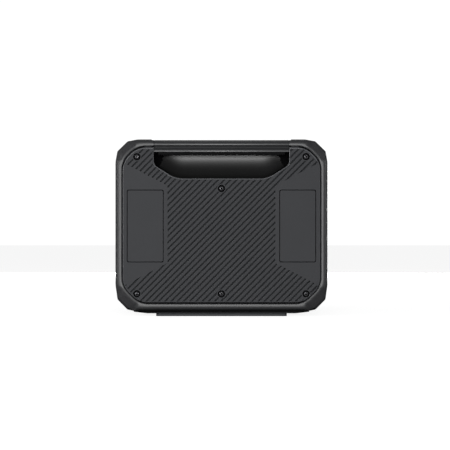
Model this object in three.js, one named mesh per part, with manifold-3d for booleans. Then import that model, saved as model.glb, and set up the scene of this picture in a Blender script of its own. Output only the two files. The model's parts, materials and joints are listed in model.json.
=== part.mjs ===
// A stackable expansion battery for a portable power station: eight lithium iron phosphate cells in a
// two-part housing, with a rugged frame, a ribbed end panel and a carrying handle at each end.
//
// Millimetres, +Z up. The origin is on the floor under the middle of the battery. +X is the long side
// with the control panel, -X the long side with the service cover, and the ends face -Y and +Y.
import * as THREE from 'three';
import { mergeVertices } from 'three/addons/utils/BufferGeometryUtils.js';
import Module from 'manifold-3d';

const wasm = await Module();
wasm.setup();

// ---------------------------------------------------------------- driving dimensions
const WIDTH = 294; // over the end frames, X
const LENGTH = 420; // over the end frames, Y
const HEIGHT = 245; // floor to the top of the corner guards
const GAP = 0.3; // clearance between pieces that touch
const WALL = 3; // housing wall
const SPLIT_Z = 104; // joint between the two housings
const SEAL = 2; // seal thickness in that joint

const HALF_W = WIDTH / 2;
const HALF_L = LENGTH / 2;
const FRAME_DEPTH = 56; // of each end frame, along Y
const FRAME_BACK = HALF_L - FRAME_DEPTH;
const BODY_BOTTOM = 6.5; // underside of frames and housing
const RIM = 7.5; // width of the frame's rim, seen from the end

const PANEL_FACE = HALF_L - 2; // outer face of the end panel, as a distance from the middle
const PANEL_THICK = 4.7;
const HOUSING_END = HALF_L - 10; // outer face of the housing's end wall
const SCREW_PLACES = [[-117, 220.7], [117, 220.7], [0, 176.8], [-117, 31], [0, 31], [117, 31]];

const OPENING_HALF = 93.6; // half width of the handle opening
const OPENING_SHOULDER = 209.8; // where its straight sides end
const OPENING_FLOOR = 190.6; // its lower edge
const OPENING_FLOOR_HALF = 63.6; // half width of that edge
const WELL_DEPTH = 46; // from the panel's back to the well's back wall
const WELL_WALL = 2.5;
const WELL_TURN = 27; // radius of the turn from side wall to back wall
const FLOOR_LIFT = 1.22; // the floor turns up on a larger radius than the sides

const BAR_TOP = 244;
const BAR_BOTTOM = 227.6;
const BAR_BACK = HALF_L - 26;
const CORE_RADIUS = 4;
const CORE_Y = HALF_L - 15;
const CORE_Z = 234.5;
const LUG_END = 109; // the handle's core ends in the frame's lugs, this far from the middle
const GRIP_DROP = 4; // how far the grip stands below the bar

const BODY_HALF = HALF_W - 3.5; // housing between the frames
const BODY_TOP = 241.5;
const BODY_END = FRAME_BACK - GAP;
const DECK_TOP = 244;
const DECK_HALF = OPENING_HALF - GAP;
const MAT_HALF_X = 84;
const MAT_HALF_Y = 138;
const MAT_SINK = 2;

const FOOT_HALF = 90.6; // stacking base, the part that stands on the floor
const FOOT_HEIGHT = 4;
const FOOT_HALF_L = 200;

const SIDE = { yHalf: 104, zLow: 117, zHigh: 211, face: 144.3, back: 137.2, flange: 4 }; // side openings
const BAY = { yLow: -22, yHigh: 84, zLow: 126, zHigh: 164, back: 126 }; // port bay in the control panel
const DOOR = { lip: 3, thick: 3, hingeRise: 8, knuckle: 3, pin: 1.5, pinLength: 3 };
const SOCKET = { y: [6, 56], z: 144, halfY: 17, halfZ: 12, front: 130, back: 110, mouth: 11 };
const BUTTON = { y: -62, z: 145, radius: 9, proud: 1 };
const DISPLAY = { y: -62, z: 186, halfY: 32, halfZ: 9, deep: 2 };

const CELL = { x: 49.8, y: 160, z: 118.5, post: 6, postHeight: 3, postReach: 55 };
const CELL_FLOOR = 21;
const CELL_PITCH = 50.6;
const STACK_Y = 81; // centre of each stack of four cells
const BUSBAR = { width: 18, thick: 2 };

// ---------------------------------------------------------------- materials
const material = (color, roughness, metalness = 0) =>
  new THREE.MeshStandardMaterial({ color, roughness, metalness });
const housingPlastic = material(0x2b2c2e, 0.6);
const framePlastic = material(0x26272a, 0.45);
const panelPlastic = material(0x3c3d40, 0.65);
const wellPlastic = material(0x0c0c0d, 0.3);
const barPlastic = material(0x2a2b2d, 0.42);
const softRubber = material(0x141516, 0.85);
const glossPlastic = material(0x0a0b0d, 0.15);
const blackScrew = material(0x101113, 0.35, 0.6);
const steel = material(0x9a9da1, 0.35, 1);
const aluminium = material(0xb9bcc0, 0.4, 1);
const copper = material(0xb87348, 0.35, 1);
const cellWrap = material(0x2458a8, 0.45);
const insulator = material(0xd8d6cc, 0.7);
const boardGreen = material(0x14532d, 0.5);
const redCable = material(0xa8201c, 0.5);
const blackCable = material(0x161616, 0.5);

// ---------------------------------------------------------------- solids from three.js geometry
function solidOf(geometry) {
  const bare = geometry.clone();
  bare.deleteAttribute('normal');
  bare.deleteAttribute('uv');
  const merged = mergeVertices(bare, 1e-4);
  return new wasm.Manifold(new wasm.Mesh({
    numProp: 3,
    vertProperties: new Float32Array(merged.attributes.position.array),
    triVerts: new Uint32Array(merged.index.array),
  }));
}

function geometryOf(solid) {
  const { vertProperties, triVerts } = solid.getMesh();
  const geometry = new THREE.BufferGeometry();
  geometry.setAttribute('position', new THREE.BufferAttribute(vertProperties, 3));
  geometry.setIndex(new THREE.BufferAttribute(triVerts, 1));
  geometry.computeVertexNormals();
  return geometry;
}

const union = (...solids) => solids.reduce((all, next) => all.add(next));

function box(xLow, xHigh, yLow, yHigh, zLow, zHigh) {
  const geometry = new THREE.BoxGeometry(xHigh - xLow, yHigh - yLow, zHigh - zLow);
  geometry.translate((xLow + xHigh) / 2, (yLow + yHigh) / 2, (zLow + zHigh) / 2);
  return solidOf(geometry);
}

// A flat outline made into a plate. The outline's two numbers lie along the two axes that aren't `axis`.
function prism(axis, outline, low, high, holes = []) {
  const pathOf = (points) => points.map(([a, b]) => new THREE.Vector2(a, b));
  const shape = new THREE.Shape(pathOf(outline));
  shape.holes = holes.map((hole) => new THREE.Path(pathOf(hole)));
  const geometry = new THREE.ExtrudeGeometry(shape, { depth: high - low, bevelEnabled: false });
  if (axis === 'y') geometry.rotateX(Math.PI / 2).translate(0, high, 0); // outline in X, Z
  if (axis === 'x') geometry.rotateX(Math.PI / 2).rotateZ(Math.PI / 2).translate(low, 0, 0); // Y, Z
  if (axis === 'z') geometry.translate(0, 0, low); // X, Y
  return solidOf(geometry);
}

function cylinder(axis, radius, low, high, a, b, segments = 16) {
  const geometry = new THREE.CylinderGeometry(radius, radius, high - low, segments);
  const middle = (low + high) / 2;
  if (axis === 'x') geometry.rotateZ(Math.PI / 2).translate(middle, a, b);
  if (axis === 'y') geometry.translate(a, middle, b);
  if (axis === 'z') geometry.rotateX(Math.PI / 2).translate(a, b, middle);
  return solidOf(geometry);
}

// Joins rings with the same number of points into one surface; a closed loft comes back to its first ring.
function loft(rings, closed = false) {
  const count = rings[0].length;
  const positions = new Float32Array(rings.flat(2));
  const index = [];
  const bands = closed ? rings.length : rings.length - 1;
  for (let r = 0; r < bands; r++) {
    const here = r * count;
    const next = ((r + 1) % rings.length) * count;
    for (let i = 0; i < count; i++) {
      const j = (i + 1) % count;
      index.push(here + i, here + j, next + j, here + i, next + j, next + i);
    }
  }
  if (!closed) {
    const flat = rings[0].map(([x, , z]) => new THREE.Vector2(x, z));
    const last = (rings.length - 1) * count;
    for (const [a, b, c] of THREE.ShapeUtils.triangulateShape(flat, [])) index.push(a, c, b);
    const end = rings[rings.length - 1].map(([x, , z]) => new THREE.Vector2(x, z));
    for (const [a, b, c] of THREE.ShapeUtils.triangulateShape(end, [])) index.push(last + a, last + b, last + c);
  }
  const geometry = new THREE.BufferGeometry();
  geometry.setAttribute('position', new THREE.BufferAttribute(positions, 3));
  geometry.setIndex(index);
  const made = solidOf(geometry);
  if (made.volume() > 0) return made;
  geometry.setIndex(index.reverse());
  return solidOf(geometry);
}

const mirrorEnd = (solid) => solid.mirror([0, 1, 0]);

// ---------------------------------------------------------------- outlines, seen from the end
// A closed polygon with its corners rounded; corners are [a, b, radius].
function rounded(corners, steps = 3) {
  const points = [];
  corners.forEach(([a, b, radius = 0], i) => {
    const corner = new THREE.Vector2(a, b);
    if (!radius) {
      points.push([a, b]);
      return;
    }
    const before = new THREE.Vector2(...corners.at(i - 1).slice(0, 2)).sub(corner).normalize();
    const after = new THREE.Vector2(...corners[(i + 1) % corners.length].slice(0, 2)).sub(corner).normalize();
    const half = Math.acos(before.dot(after)) / 2;
    const centre = corner.clone().addScaledVector(before.clone().add(after).normalize(), radius / Math.sin(half));
    const start = corner.clone().addScaledVector(before, radius / Math.tan(half)).sub(centre);
    const turn = Math.sign(before.cross(after)) * -(Math.PI - 2 * half);
    for (let s = 0; s <= steps; s++) {
      const p = start.clone().rotateAround(new THREE.Vector2(), (turn * s) / steps).add(centre);
      points.push([p.x, p.y]);
    }
  });
  return points;
}

const rectangle = (aLow, aHigh, bLow, bHigh, radius) =>
  rounded([[aLow, bLow, radius], [aHigh, bLow, radius], [aHigh, bHigh, radius], [aLow, bHigh, radius]]);

// Four points of each right-hand corner, then the same mirrored: 16 points, anticlockwise.
const bothSides = (right) => [...right, ...right.map(([x, z]) => [-x, z]).reverse()];

// The silhouette of the frame: a long shallow facet, a 45 degree cut, and a long shallow facet again.
const silhouette = (inset, bottom = BODY_BOTTOM) => bothSides([
  [118 - inset, bottom], [130.3 - 0.8 * inset, 9 + 0.6 * inset],
  [144.2 - inset, 23 + 0.5 * inset], [HALF_W - inset, 43],
  [HALF_W - inset, 214], [144.2 - inset, 228.7 - 0.6 * inset],
  [130.3 - 0.6 * inset, 242.2 - inset], [116, HEIGHT - inset],
]);

// An octagon with cut corners whose ends are softened: the frame's ridge and inner edge, and the housing's ends.
function octagon(halfWidth, low, high, cutLow, cutHigh, soft = 5) {
  const diagonal = soft * Math.SQRT1_2;
  return bothSides([
    [halfWidth - cutLow - soft, low], [halfWidth - cutLow + diagonal, low + diagonal],
    [halfWidth - diagonal, low + cutLow - diagonal], [halfWidth, low + cutLow + soft],
    [halfWidth, high - cutHigh - soft], [halfWidth - diagonal, high - cutHigh + diagonal],
    [halfWidth - cutHigh + diagonal, high - diagonal], [halfWidth - cutHigh - soft, high],
  ]);
}

const INNER = { low: 16.3, high: 236.5, cutLow: 25, cutHigh: 21.5 };
const innerEdge = (inset = 0) => octagon(HALF_W - RIM - inset, INNER.low + inset, INNER.high - inset,
  INNER.cutLow - 0.6 * inset, INNER.cutHigh - 0.6 * inset);
const ridge = octagon(HALF_W - RIM + 1.2, 15, 238.3, 25.6, 22);

// The handle opening grown by `grow` all round, then drawn in by `turn` where the well turns to its back.
function openingOutline(grow, top, radii = [0, 0], turn = 0) {
  const run = OPENING_HALF - OPENING_FLOOR_HALF;
  const rise = OPENING_SHOULDER - OPENING_FLOOR;
  const length = Math.hypot(run, rise);
  const [nx, nz] = [-rise / length, run / length]; // inward normal of the right-hand slope
  const reach = nx * OPENING_FLOOR_HALF + nz * OPENING_FLOOR - grow + (turn * (1 + FLOOR_LIFT)) / 2;
  const half = OPENING_HALF + grow - turn;
  const floor = OPENING_FLOOR - grow + turn * FLOOR_LIFT;
  const shoulder = (reach - nx * half) / nz;
  const floorHalf = (reach - nz * floor) / nx;
  return rounded([
    [-floorHalf, floor, radii[1]], [floorHalf, floor, radii[1]], [half, shoulder, radii[0]],
    [half, top], [-half, top], [-half, shoulder, radii[0]],
  ], 4);
}

// ---------------------------------------------------------------- end frame
function endFrame() {
  const outer = silhouette(0);
  const station = (y, side, corner) => outer.map(([x, z], i) => {
    const share = i % 4 === 1 || i % 4 === 2 ? corner : side;
    const [rx, rz] = ridge[i];
    return [rx + (x - rx) * share, -y, rz + (z - rz) * share];
  });
  const flat = (outline, y) => outline.map(([x, z]) => [x, -y, z]);
  const ring = loft([
    flat(outer, FRAME_BACK), flat(outer, HALF_L - 13),
    station(HALF_L - 6, 0.85, 0.86), station(HALF_L - 1.5, 0.45, 0.3), station(HALF_L, 0, 0),
    flat(innerEdge(), HALF_L - 1.5), flat(innerEdge(), FRAME_BACK),
  ], true);
  const clear = OPENING_HALF + WELL_WALL + 2 * GAP;
  const handleGap = union(
    box(-OPENING_HALF, OPENING_HALF, -HALF_L - 1, -FRAME_BACK + 1, INNER.high - 4, HEIGHT + 1),
    box(-clear, clear, -HALF_L + 5, -FRAME_BACK + 1, INNER.high - 4, HEIGHT + 1),
  );
  const lugs = [-1, 1].map((side) => {
    const [a, b] = [side * (clear + GAP), side * LUG_END].sort((p, q) => p - q);
    return box(a, b, -(CORE_Y + 5), -(CORE_Y - 9), CORE_Z - 8, INNER.high + 1);
  });
  const bores = [-1, 1].map((side) => {
    const [a, b] = [side * (clear - 1), side * (LUG_END - 1.5)].sort((p, q) => p - q);
    return cylinder('x', CORE_RADIUS + GAP, a, b, -CORE_Y, CORE_Z);
  });
  return ring.subtract(handleGap).add(lugs[0]).add(lugs[1]).subtract(union(...bores));
}

// ---------------------------------------------------------------- end panel, its screws and the handle well
function endPanel() {
  const outline = octagon(136.8, 19.2, 233.8, 22.5, 20);
  const plate = prism('y', outline, -PANEL_FACE, -(PANEL_FACE - PANEL_THICK));
  const bosses = SCREW_PLACES.map(([x, z]) => cylinder('y', 6.3, -PANEL_FACE + 1, -HOUSING_END - GAP, x, z));
  const bores = SCREW_PLACES.map(([x, z]) => union(
    cylinder('y', 4.85, -PANEL_FACE - 1, -PANEL_FACE + 3.2, x, z),
    cylinder('y', 2.2, -PANEL_FACE - 1, -HOUSING_END + 1, x, z, 12),
  ));
  const handle = prism('y', openingOutline(0, HEIGHT, [9.5, 37]), -HALF_L, -HOUSING_END + 1);
  return union(plate, ...bosses).subtract(union(handle, ...bores));
}

function panelScrew(x, z) {
  const seat = PANEL_FACE - 3.2 + GAP; // underside of the head
  const profile = [
    [0, -13.5], [1.1, -13.5], [1.8, -12], [1.8, 0], [3.3, 0], [3.3, 1.2], [2.3, 2.3],
    [1.3, 2.5], [1.3, 1.2], [0, 1.2],
  ].map(([radius, along]) => new THREE.Vector2(radius, along));
  const geometry = new THREE.LatheGeometry(profile, 12);
  geometry.rotateZ(Math.PI).translate(x, -seat, z);
  return solidOf(geometry);
}

function wellRings(grow, yFront, yBack, top) {
  const flatFrom = yBack + WELL_TURN;
  const rings = [[yFront, 0], [flatFrom, 0]];
  for (let s = 1; s <= 4; s++) {
    const angle = (s / 4) * (Math.PI / 2);
    rings.push([flatFrom - WELL_TURN * Math.sin(angle), WELL_TURN * (1 - Math.cos(angle))]);
  }
  return rings.map(([y, turn]) => openingOutline(grow + GAP, top, [8, 14], turn)
    .map(([x, z]) => [x, -y, z]));
}

function handleWell() {
  const front = PANEL_FACE - PANEL_THICK - GAP;
  const back = front - WELL_DEPTH;
  const shell = loft(wellRings(WELL_WALL, front, back - WELL_WALL, BAR_TOP - GAP));
  const hollow = loft(wellRings(0, HALF_L, back, HEIGHT + 2));
  const half = OPENING_HALF + GAP + WELL_WALL;
  const rim = box(-half, half, -BAR_BACK, -(back - WELL_WALL), BAR_TOP - GAP - 3, BAR_TOP - GAP);
  const coreHole = cylinder('x', CORE_RADIUS + GAP, -LUG_END, LUG_END, -CORE_Y, CORE_Z);
  return shell.add(rim).subtract(hollow).subtract(coreHole);
}

// ---------------------------------------------------------------- carrying handle
function handleBar() {
  const half = OPENING_HALF - GAP;
  const front = -HALF_L;
  const section = rounded([
    [front, 238.4, 1.2], [front + 3.4, 235.6, 2], [front + 4, 230.5, 0], [front + 5, BAR_BOTTOM, 1.2],
    [-BAR_BACK, BAR_BOTTOM, 4], [-BAR_BACK, BAR_TOP, 5], [front + 7.5, BAR_TOP, 2], [front + 1.4, 241, 2],
  ]);
  const coreHole = rounded([0, 1, 2, 3, 4, 5, 6, 7].map((k) => [
    -CORE_Y + (CORE_RADIUS + GAP) * Math.cos((k * Math.PI) / 4),
    CORE_Z + (CORE_RADIUS + GAP) * Math.sin((k * Math.PI) / 4),
  ]));
  return prism('x', section, -half, half, [coreHole]);
}

function handleGrip() {
  const half = OPENING_HALF - 6;
  const top = BAR_BOTTOM - GAP;
  const section = rounded([
    [-HALF_L + 6.5, top], [-HALF_L + 8, top - GRIP_DROP, 2.5],
    [-BAR_BACK - 5, top - GRIP_DROP, 2.5], [-BAR_BACK - 3.5, top],
  ]);
  return prism('x', section, -half, half);
}

const handleCore = () =>
  cylinder('x', CORE_RADIUS, -LUG_END + 2, LUG_END - 2, -CORE_Y, CORE_Z, 12);

// ---------------------------------------------------------------- housings
const boreInHousing = (x, z, end) => cylinder('y', 2.1, Math.min(end * 186, end * 203), Math.max(end * 186, end * 203), x, z, 12);

function housingShape() {
  const bodyOutline = silhouette(HALF_W - BODY_HALF);
  const bodyHollow = silhouette(HALF_W - BODY_HALF + WALL, BODY_BOTTOM + WALL);
  const endOutline = innerEdge(GAP);
  const endHollow = innerEdge(GAP + WALL);
  const deck = box(-DECK_HALF, DECK_HALF, -BODY_END, BODY_END, BODY_TOP - 1, DECK_TOP);
  const outside = union(
    prism('y', bodyOutline, -BODY_END, BODY_END),
    prism('y', endOutline, -HOUSING_END, HOUSING_END),
    deck,
  );
  const notch = (grow, back) => {
    const well = prism('y', openingOutline(2 * GAP + WELL_WALL + grow, HEIGHT + 2), -HOUSING_END - 1, -back);
    const lugSpace = box(-LUG_END - GAP - grow, LUG_END + GAP + grow, -HOUSING_END - 1,
      -(CORE_Y - 9) + GAP + grow, CORE_Z - 8 - GAP - grow, HEIGHT + 2);
    return well.add(lugSpace);
  };
  const wellBack = PANEL_FACE - PANEL_THICK - GAP - WELL_DEPTH - WELL_WALL - GAP;
  const cut = notch(0, wellBack);
  const keepOut = notch(WALL, wellBack - WALL);
  const inside = union(
    prism('y', bodyHollow, -BODY_END + WALL, BODY_END - WALL),
    prism('y', endHollow, -HOUSING_END + WALL, HOUSING_END - WALL),
  ).subtract(keepOut).subtract(mirrorEnd(keepOut));
  const matRecess = box(-MAT_HALF_X - GAP, MAT_HALF_X + GAP, -MAT_HALF_Y - GAP, MAT_HALF_Y + GAP,
    DECK_TOP - MAT_SINK, DECK_TOP + 1);
  const window = prism('x', rectangle(-SIDE.yHalf - GAP, SIDE.yHalf + GAP, SIDE.zLow - GAP, SIDE.zHigh + GAP, 8),
    -HALF_W, HALF_W);
  const screwPosts = SCREW_PLACES.flatMap(([x, z]) => [-1, 1].map((end) =>
    cylinder('y', 5.2, Math.min(end * 185, end * 198), Math.max(end * 185, end * 198), x, z, 12)));
  const pilots = SCREW_PLACES.flatMap(([x, z]) => [-1, 1].map((end) => boreInHousing(x, z, end)));
  return outside.subtract(cut).subtract(mirrorEnd(cut)).subtract(inside).subtract(matRecess)
    .subtract(window).add(union(...screwPosts)).subtract(union(...pilots));
}

function bottomHousing(shape) {
  const cradle = [-120, -40, 40, 120].map((y) =>
    box(-108, 108, y - 2, y + 2, BODY_BOTTOM + WALL - 0.5, CELL_FLOOR - GAP));
  const below = box(-HALF_W, HALF_W, -HALF_L, HALF_L, 0, SPLIT_Z - GAP - SEAL / 2);
  return union(shape.intersect(below), ...cradle);
}

const topHousing = (shape) =>
  shape.intersect(box(-HALF_W, HALF_W, -HALF_L, HALF_L, SPLIT_Z + GAP + SEAL / 2, HEIGHT + 2));

function housingSeal() {
  const edge = 0.8; // the seal sits this far inside the housings' outer faces
  const endHalf = HALF_W - RIM - GAP;
  const slab = (x, y) => box(-x, x, -y, y, SPLIT_Z - SEAL / 2, SPLIT_Z + SEAL / 2);
  return union(slab(BODY_HALF - edge, BODY_END - edge), slab(endHalf - edge, HOUSING_END - edge))
    .subtract(union(slab(BODY_HALF - WALL, BODY_END - WALL), slab(endHalf - WALL, HOUSING_END - WALL)));
}

function stackingBase() {
  const skid = prism('y', [
    [-103, FOOT_HEIGHT], [103, FOOT_HEIGHT], [122, 6.6], [122, 7], [118, BODY_BOTTOM - GAP],
    [-118, BODY_BOTTOM - GAP], [-122, 7], [-122, 6.6],
  ], -FOOT_HALF_L - 3, FOOT_HALF_L + 3);
  const foot = prism('z', rectangle(-FOOT_HALF, FOOT_HALF, -FOOT_HALF_L, FOOT_HALF_L, 4), 0, FOOT_HEIGHT + 0.5);
  return skid.add(foot);
}

const topMat = () => prism('z', rectangle(-MAT_HALF_X, MAT_HALF_X, -MAT_HALF_Y, MAT_HALF_Y, 4),
  DECK_TOP - MAT_SINK + GAP, DECK_TOP + 0.4);

// ---------------------------------------------------------------- side fittings
// A plate that fills a side opening of the top housing, with a flange behind the housing wall.
function sidePlate(side) {
  const at = (a, b) => [side * a, side * b].sort((p, q) => p - q);
  const plug = prism('x', rectangle(-SIDE.yHalf, SIDE.yHalf, SIDE.zLow, SIDE.zHigh, 7.7), ...at(SIDE.back, SIDE.face));
  const f = SIDE.flange;
  const flange = prism('x', rectangle(-SIDE.yHalf - f, SIDE.yHalf + f, SIDE.zLow - f, SIDE.zHigh + f, 8),
    ...at(SIDE.back, BODY_HALF - WALL - GAP));
  return plug.add(flange);
}

const hingeZ = BAY.zHigh + DOOR.hingeRise - 4;
const hingeX = SIDE.face - DOOR.knuckle;
const socketOutline = (grow) => (y) => rectangle(y - SOCKET.halfY - grow, y + SOCKET.halfY + grow,
  SOCKET.z - SOCKET.halfZ - grow, SOCKET.z + SOCKET.halfZ + grow, 5 + grow);

function controlPanel() {
  const w = 2.5;
  const tub = box(BAY.back - w, SIDE.back + 1, BAY.yLow - w, BAY.yHigh + w, BAY.zLow - w, BAY.zHigh + w);
  const bay = box(BAY.back, SIDE.face + 1, BAY.yLow, BAY.yHigh, BAY.zLow, BAY.zHigh);
  const ledge = SIDE.face - DOOR.thick - GAP;
  const rebate = box(ledge, SIDE.face + 1, BAY.yLow - DOOR.lip, BAY.yHigh + DOOR.lip,
    BAY.zLow - DOOR.lip, BAY.zHigh + DOOR.hingeRise);
  const knuckleSpace = box(hingeX - DOOR.knuckle - 0.5, SIDE.face + 1, BAY.yLow - DOOR.lip, BAY.yHigh + DOOR.lip,
    BAY.zHigh - 1, BAY.zHigh + DOOR.hingeRise);
  const reach = DOOR.lip + DOOR.pinLength + 0.5;
  const pinBore = cylinder('y', DOOR.pin + 0.2, BAY.yLow - reach, BAY.yHigh + reach, hingeX, hingeZ, 12);
  const buttonBore = cylinder('x', BUTTON.radius + GAP, SIDE.back - 1, SIDE.face + 1, BUTTON.y, BUTTON.z, 24);
  const d = DISPLAY;
  const displayPocket = box(SIDE.face - d.deep - GAP, SIDE.face + 1, d.y - d.halfY - GAP, d.y + d.halfY + GAP,
    d.z - d.halfZ - GAP, d.z + d.halfZ + GAP);
  const sockets = SOCKET.y.map((y) => prism('x', socketOutline(GAP)(y), BAY.back - w - 1, BAY.back + 1));
  return sidePlate(1).add(tub)
    .subtract(union(bay, rebate, knuckleSpace, pinBore, buttonBore, displayPocket, ...sockets));
}

function portDoor() {
  const inner = SIDE.face - DOOR.thick;
  const [yLow, yHigh] = [BAY.yLow - DOOR.lip + GAP, BAY.yHigh + DOOR.lip - GAP];
  const plate = box(inner, SIDE.face, yLow, yHigh, BAY.zLow - DOOR.lip + GAP, hingeZ);
  const knuckle = cylinder('y', DOOR.knuckle, yLow, yHigh, hingeX, hingeZ);
  const pins = cylinder('y', DOOR.pin, yLow - DOOR.pinLength, yHigh + DOOR.pinLength, hingeX, hingeZ, 12);
  const scoop = box(SIDE.face - 1.2, SIDE.face + 1, 16, 46, BAY.zLow - DOOR.lip, BAY.zLow + 4);
  return union(plate, knuckle, pins).subtract(scoop);
}

function portSocket(y) {
  const body = prism('x', socketOutline(0)(y), SOCKET.back, SOCKET.front);
  const collar = prism('x', socketOutline(3)(y), BAY.back + GAP, BAY.back + 2.3);
  const mouth = prism('x', socketOutline(-2)(y), SOCKET.front - SOCKET.mouth, SOCKET.front + 1);
  const blades = [-7.5, 7.5].map((offset) =>
    cylinder('x', 3, SOCKET.front - SOCKET.mouth - 1, SOCKET.front - 5, y + offset, SOCKET.z, 12));
  return union(body, collar).subtract(mouth).add(union(...blades));
}

function powerButton() {
  const cap = cylinder('x', BUTTON.radius, 135.5, SIDE.face + BUTTON.proud, BUTTON.y, BUTTON.z, 24);
  const flange = cylinder('x', BUTTON.radius + 2, 134, SIDE.back - GAP, BUTTON.y, BUTTON.z, 24);
  return cap.add(flange);
}

const displayWindow = () => box(SIDE.face - DISPLAY.deep, SIDE.face + 0.2, DISPLAY.y - DISPLAY.halfY,
  DISPLAY.y + DISPLAY.halfY, DISPLAY.z - DISPLAY.halfZ, DISPLAY.z + DISPLAY.halfZ);

function controlBoard() {
  const board = box(126, 127.6, -98, -30, 128, 206);
  const switchBody = box(127, 132, BUTTON.y - 3, BUTTON.y + 3, BUTTON.z - 3, BUTTON.z + 3);
  const ledBar = box(127, 135, DISPLAY.y - 28, DISPLAY.y + 28, DISPLAY.z - 6, DISPLAY.z + 6);
  return union(board, switchBody, ledBar);
}

// ---------------------------------------------------------------- battery module
const cellX = (column) => (column - 1.5) * CELL_PITCH;
const cellTop = CELL_FLOOR + CELL.z;
const postTop = cellTop + CELL.postHeight;

function cell(x, y) {
  const can = box(x - CELL.x / 2, x + CELL.x / 2, y - CELL.y / 2, y + CELL.y / 2, CELL_FLOOR, cellTop);
  const posts = [-1, 1].map((end) =>
    cylinder('z', CELL.post, cellTop - 1, postTop, x, y + end * CELL.postReach, 12));
  return union(can, ...posts);
}

function compressionPlate(side) {
  const near = cellX(3) + CELL.x / 2 + GAP;
  const [a, b] = [side * near, side * (near + 4)].sort((p, q) => p - q);
  return box(a, b, -STACK_Y - CELL.y / 2, STACK_Y + CELL.y / 2, CELL_FLOOR + 3, cellTop - 3);
}

function steelBand(zLow) {
  const x = cellX(3) + CELL.x / 2 + 4 + 2 * GAP;
  const y = STACK_Y + CELL.y / 2 + GAP;
  return box(-x - 1, x + 1, -y - 1, y + 1, zLow, zLow + 16).subtract(box(-x, x, -y, y, zLow - 1, zLow + 17));
}

// A flat bar between two cell posts, standing just over them.
function busbar(x1, y1, x2, y2) {
  const h = BUSBAR.width / 2;
  const z = postTop + GAP;
  return box(Math.min(x1, x2) - h, Math.max(x1, x2) + h, Math.min(y1, y2) - h, Math.max(y1, y2) + h,
    z, z + BUSBAR.thick);
}

function bmsBracket() {
  const outer = cellX(3) + CELL.x / 2 + GAP + 3.5;
  const legs = [-1, 1].map((side) => {
    const [a, b] = [side * (outer - 2.5), side * outer].sort((p, q) => p - q);
    return box(a, b, -60, 60, cellTop - 3 + GAP, 163);
  });
  return union(box(-outer, outer, -60, 60, 161, 163.5), ...legs);
}

function bmsBoard() {
  const board = box(-82, 82, -48, 48, 168, 169.6);
  const standoffs = [[-74, -40], [74, -40], [-74, 40], [74, 40]].map(([x, y]) =>
    cylinder('z', 3, 163.5 + GAP, 168.5, x, y, 12));
  const heatSink = box(-30, 50, -30, 10, 169, 181);
  const fuse = box(-70, -42, -36, -14, 169, 184);
  const relay = box(-70, -38, 2, 38, 169, 190);
  const connector = box(56, 78, -20, 30, 169, 178);
  return union(board, heatSink, fuse, relay, connector, ...standoffs);
}

// A cable with a flat lug on the cell post it starts from.
function lead(radius, points) {
  const path = new THREE.CatmullRomCurve3(points.map((p) => new THREE.Vector3(...p)));
  const section = new THREE.Shape();
  for (let k = 0; k < 8; k++) {
    const angle = (k * Math.PI) / 4;
    section[k ? 'lineTo' : 'moveTo'](radius * Math.cos(angle), radius * Math.sin(angle));
  }
  const cable = new THREE.ExtrudeGeometry(section, { steps: 24, bevelEnabled: false, extrudePath: path });
  const [x, y] = points[0];
  const z = postTop + GAP;
  return solidOf(cable).add(box(x - 7, x + 7, y - 7, y + 7, z, z + 4));
}

// ---------------------------------------------------------------- assembly
const battery = new THREE.Group();

function place(name, solid, look) {
  const mesh = new THREE.Mesh(geometryOf(solid), look);
  mesh.name = name;
  battery.add(mesh);
}

// The pieces that both ends have: made for the -Y end and mirrored for the +Y end.
const ends = [['front', (solid) => solid], ['rear', mirrorEnd]];
for (const [end, turn] of ends) {
  place(`${end}_end_frame`, turn(endFrame()), framePlastic);
  place(`${end}_end_panel`, turn(endPanel()), panelPlastic);
  place(`${end}_handle_well`, turn(handleWell()), wellPlastic);
  place(`${end}_handle_bar`, turn(handleBar()), barPlastic);
  place(`${end}_handle_core`, turn(handleCore()), steel);
  place(`${end}_handle_grip`, turn(handleGrip()), softRubber);
  SCREW_PLACES.forEach(([x, z], i) => place(`${end}_panel_screw_${i + 1}`, turn(panelScrew(x, z)), blackScrew));
}

const housing = housingShape();
place('bottom_housing', bottomHousing(housing), housingPlastic);
place('top_housing', topHousing(housing), housingPlastic);
place('housing_seal', housingSeal(), softRubber);
place('stacking_base', stackingBase(), softRubber);
place('top_mat', topMat(), softRubber);

place('service_cover', sidePlate(-1), panelPlastic);
place('control_panel', controlPanel(), glossPlastic);
place('port_door', portDoor(), panelPlastic);
SOCKET.y.forEach((y, i) => place(`port_socket_${i + 1}`, portSocket(y), glossPlastic));
place('power_button', powerButton(), panelPlastic);
place('display_window', displayWindow(), glossPlastic);
place('control_board', controlBoard(), boardGreen);

[-STACK_Y, STACK_Y].forEach((y, stack) => {
  for (let column = 0; column < 4; column++) place(`cell_${4 * stack + column + 1}`, cell(cellX(column), y), cellWrap);
});
place('compression_plate_left', compressionPlate(-1), insulator);
place('compression_plate_right', compressionPlate(1), insulator);
place('steel_band_lower', steelBand(48), steel);
place('steel_band_upper', steelBand(98), steel);

// The cells are in series: three links in each stack, and one between the stacks.
const outerPost = STACK_Y + CELL.postReach;
const innerPost = STACK_Y - CELL.postReach;
[-1, 1].forEach((end, stack) => {
  const posts = [outerPost, innerPost, outerPost];
  posts.forEach((post, link) => place(`busbar_${3 * stack + link + 1}`,
    busbar(cellX(link), end * post, cellX(link + 1), end * post), copper));
});
place('busbar_7', busbar(cellX(3), -innerPost, cellX(3), innerPost), copper);

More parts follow.
